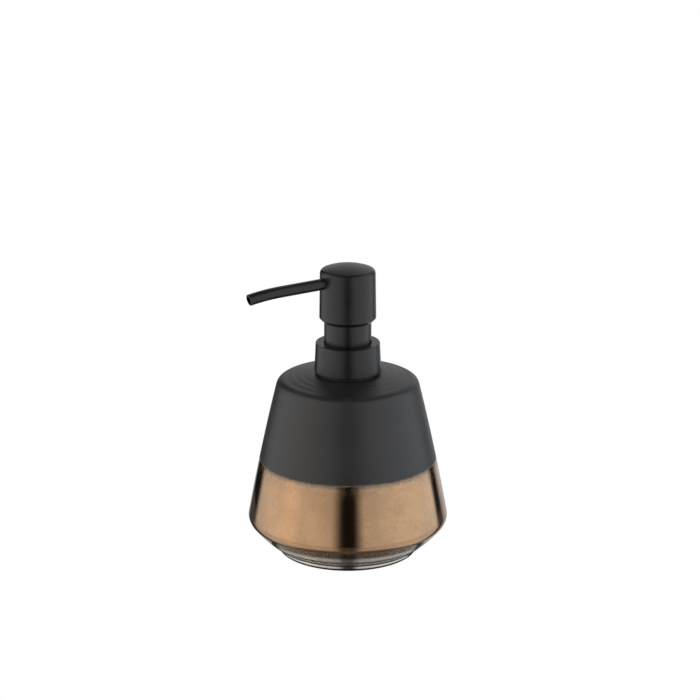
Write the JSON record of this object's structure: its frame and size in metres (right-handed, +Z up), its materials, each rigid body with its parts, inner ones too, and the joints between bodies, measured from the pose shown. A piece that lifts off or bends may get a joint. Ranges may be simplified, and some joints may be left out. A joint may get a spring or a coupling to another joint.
{
  "type": "soap pump dispenser",
  "caption": "Ceramic bottle, a cone flaring to a rounded belly over a small foot, black above a bronze band, with a black screw-on lotion pump and a slim curved spout.",
  "frame": {"origin": "centre of the flat foot, on the pump's axis", "axes": "+Z up along the pump's axis, the spout points along -X at rest"},
  "size_m": [0.1051, 0.101, 0.149],
  "materials": {
    "glaze": "matt black glaze above, glossy metallic bronze glaze on the lower third",
    "black_metal": "satin black coating",
    "black_plastic": "moulded",
    "white_plastic": "natural polypropylene",
    "tube_plastic": "extruded polyethylene",
    "silicone": "soft silicone",
    "piston_rubber": "soft polyethylene",
    "spring_steel": "drawn wire",
    "ball_steel": "polished ball"
  },
  "bodies": {
    "bottle": {"bottle": "glaze", "neck_adapter": "black_plastic", "adapter_seal": "silicone"},
    "pump": {"pump_housing": "white_plastic", "chaplet": "white_plastic", "middle_sleeve": "black_metal", "dip_tube": "tube_plastic", "neck_gasket": "white_plastic", "ball_cage": "white_plastic", "return_spring": "spring_steel"},
    "closure": {"closure": "black_plastic", "collar_cover": "black_metal"},
    "plunger": {"piston": "piston_rubber"},
    "head": {"head_shell": "black_metal", "head_core": "white_plastic", "spout_tube": "black_metal", "spout_seal": "silicone", "upper_stem": "white_plastic", "piston_stem": "white_plastic"},
    "inlet_ball": {"inlet_ball": "ball_steel"}
  },
  "joints": [
    {"name": "unscrew_rise", "type": "slide", "parent": "bottle", "child": "pump", "axis": [0, 0, 1], "range_m": [0, 0.00635]},
    {"name": "closure_turn", "type": "hinge", "parent": "pump", "child": "closure", "pos_m": [0, 0, 0.1], "axis": [0, 0, 1], "range_deg": [0, 540]},
    {"name": "head_press", "type": "slide", "parent": "pump", "child": "plunger", "axis": [0, 0, -1], "range_m": [0, 0.0105], "stiffness_N_per_m": 600, "springref_m": -0.008, "deforming": ["return_spring"]},
    {"name": "head_swivel", "type": "hinge", "parent": "plunger", "child": "head", "pos_m": [0, 0, 0.12], "axis": [0, 0, 1], "continuous": true},
    {"name": "inlet_ball_lift", "type": "slide", "parent": "pump", "child": "inlet_ball", "axis": [0, 0, 1], "range_m": [0, 0.0012]}
  ],
  "couplings": [
    {"joint": "closure_turn", "follows": "unscrew_rise", "rad_per_m": 1484.2}
  ]
}
